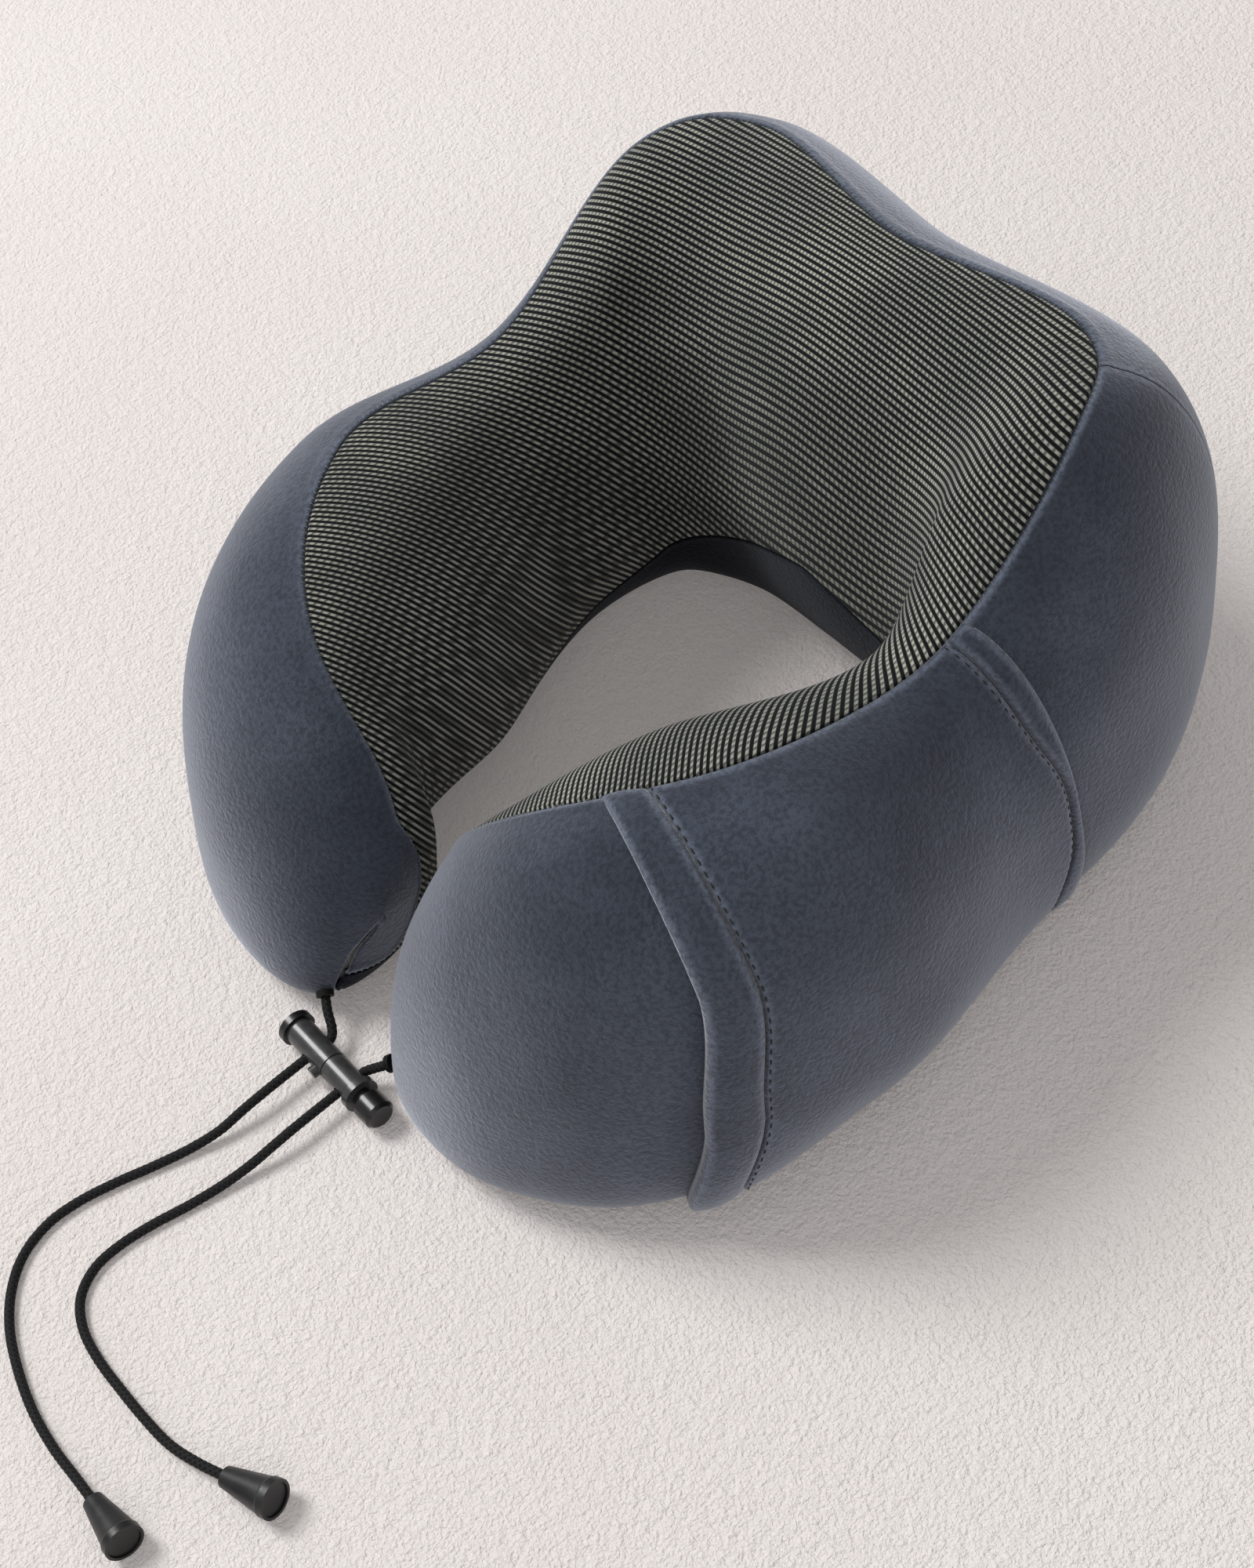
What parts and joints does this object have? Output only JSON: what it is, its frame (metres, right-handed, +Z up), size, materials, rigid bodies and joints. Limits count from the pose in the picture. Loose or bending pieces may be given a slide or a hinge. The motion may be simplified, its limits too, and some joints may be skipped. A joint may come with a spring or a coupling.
{
  "type": "neck pillow",
  "caption": "U-shaped foam travel neck pillow with a zipped velour and ribbed mesh cover, a phone pocket and front drawcords in a push-button lock.",
  "frame": {"origin": "on the surface that the pillow stands on, under the middle of its box", "axes": "+Z up; the arms open toward -Y, and the phone pocket is on the +X arm"},
  "size_m": [0.27, 0.4304, 0.1584],
  "materials": {
    "foam": "matte",
    "liner": "matte",
    "velour": "matte",
    "mesh": "matte",
    "elastic": "matte",
    "zip_tape": "matte",
    "zip_coil": "satin",
    "zip_metal": "satin",
    "cord": "matte",
    "lock_plastic": "gloss",
    "lock_cap_plastic": "satin",
    "spring_steel": "satin",
    "cord_end_plastic": "satin"
  },
  "bodies": {
    "pillow": {"foam_core": "foam", "liner_upper": "liner", "liner_base": "liner", "cover_back_panel": "velour", "cover_left_panel": "velour", "cover_right_panel": "velour", "cover_mesh_panel": "mesh", "cover_neck_band": "velour", "cover_base_panel": "velour", "pocket_panel": "velour", "pocket_hem": "velour", "pocket_elastic": "elastic", "pocket_welt": "velour", "zip_tapes": "zip_tape", "zip_coil_upper": "zip_coil", "zip_coil_lower": "zip_coil", "zip_stops": "zip_metal", "cord_collar_left": "cord", "cord_collar_right": "cord", "cord_left": "cord", "cord_right": "cord", "cord_end_left": "cord_end_plastic", "cord_end_right": "cord_end_plastic", "cord_end_lid_left": "cord_end_plastic", "cord_end_lid_right": "cord_end_plastic", "cord_knot_left": "cord", "cord_knot_right": "cord"},
    "cord_lock": {"lock_housing": "lock_plastic", "lock_end_cap": "lock_cap_plastic", "lock_spring": "spring_steel"},
    "lock_button": {"lock_plunger": "lock_cap_plastic"},
    "slider": {"zip_slider": "zip_metal"},
    "pull": {"zip_pull": "zip_metal"}
  },
  "joints": [
    {"name": "lock_slide", "type": "slide", "parent": "pillow", "child": "cord_lock", "axis": [0, -1, 0], "range_m": [0, 0.015]},
    {"name": "button_press", "type": "slide", "parent": "cord_lock", "child": "lock_button", "axis": [-1, 0, 0], "range_m": [0, 0.003], "stiffness_N_per_m": 300},
    {"name": "slider_run", "type": "slide", "parent": "pillow", "child": "slider", "axis": [1, 0, 0], "range_m": [0, 0.084]},
    {"name": "pull_swing", "type": "hinge", "parent": "slider", "child": "pull", "pos_m": [-0.044, 0.13723, 0.01039], "axis": [0, 0.592, 0.8059], "range_deg": [0, 170]}
  ]
}
